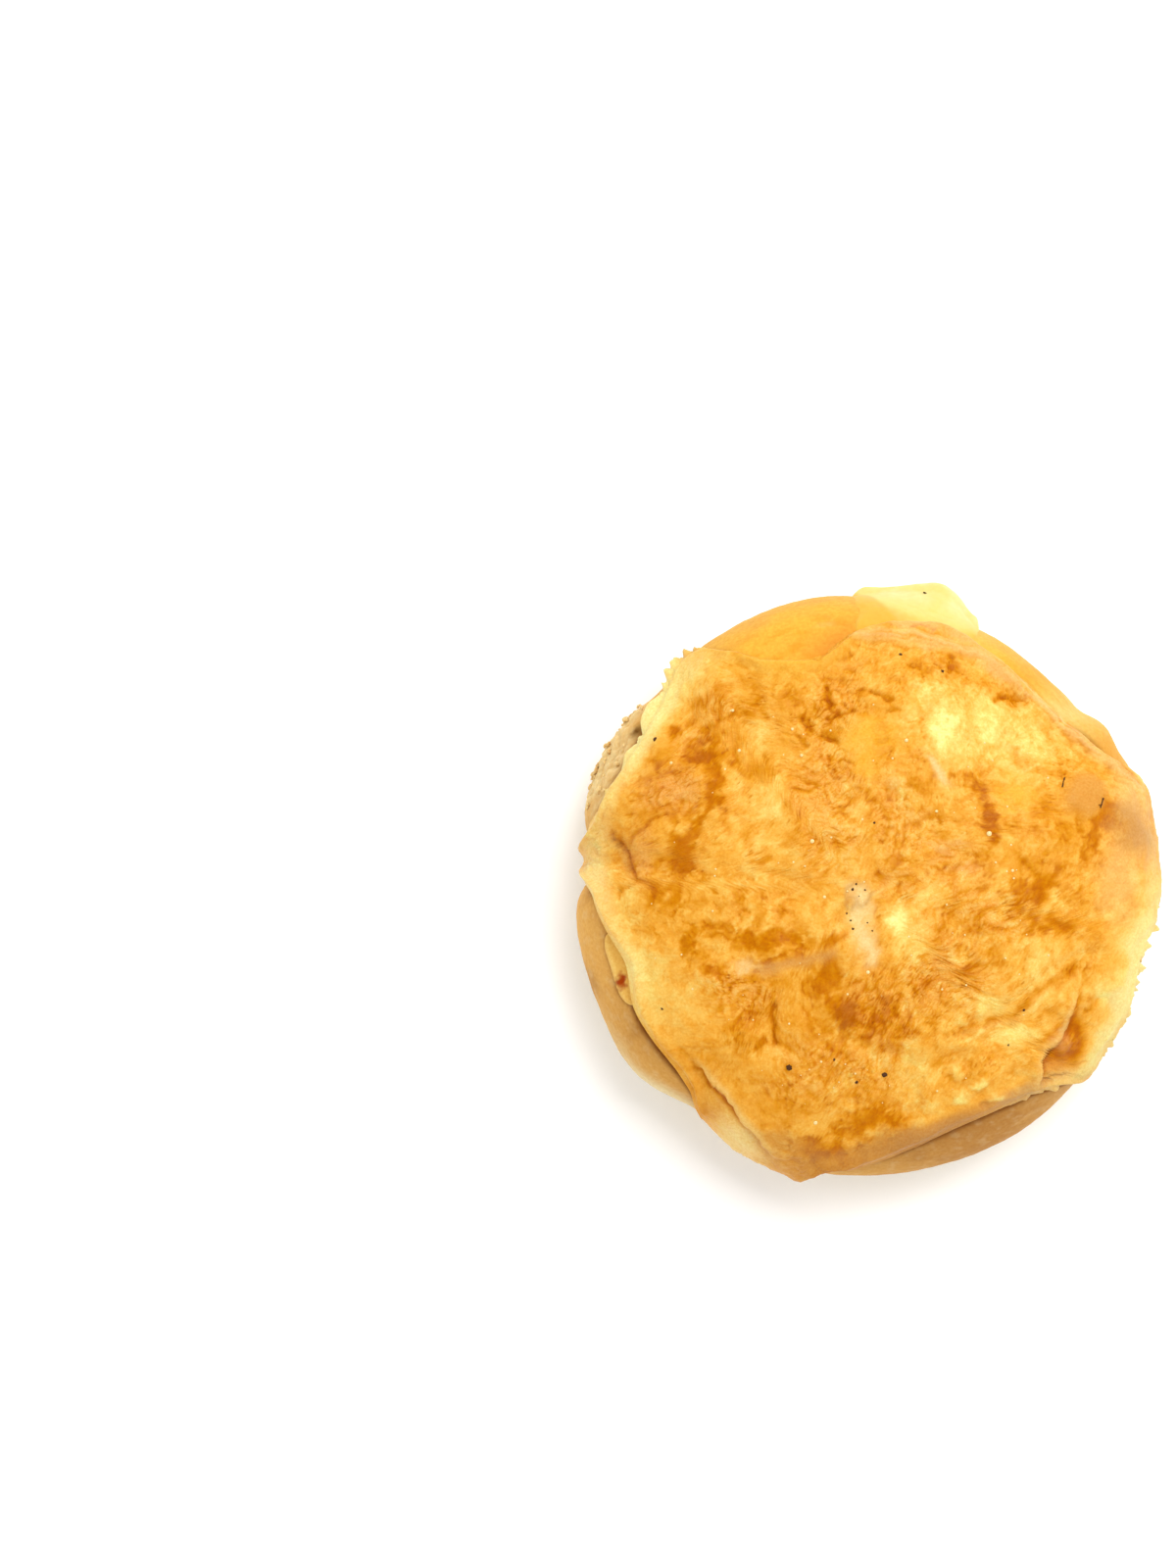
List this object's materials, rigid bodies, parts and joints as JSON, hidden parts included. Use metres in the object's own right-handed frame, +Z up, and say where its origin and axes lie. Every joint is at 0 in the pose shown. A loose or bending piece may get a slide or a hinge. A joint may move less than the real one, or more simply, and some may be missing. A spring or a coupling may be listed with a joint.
{
  "type": "cheese roll",
  "caption": "Soft round bread roll with a slice of cheese melted and browned over its crown, the edges draped over its sides and torn.",
  "frame": {"origin": "on the table, under the middle of the roll", "axes": "+Z up towards the crown; +Y towards the side with the pale cheese run; +X to the right of that as seen from above"},
  "size_m": [0.111, 0.1132, 0.0453],
  "materials": {
    "bread": "soft baked crust, dull, tan turning cream towards the foot",
    "browned_cheese": "melted cheese, baked golden with amber pools, softly shiny",
    "pale_cheese": "melted cheese that stayed pale, smooth and waxy"
  },
  "bodies": {
    "root": {"bread_roll": "bread", "cheese_topping": "browned_cheese", "cheese_run": "pale_cheese"}
  },
  "joints": []
}
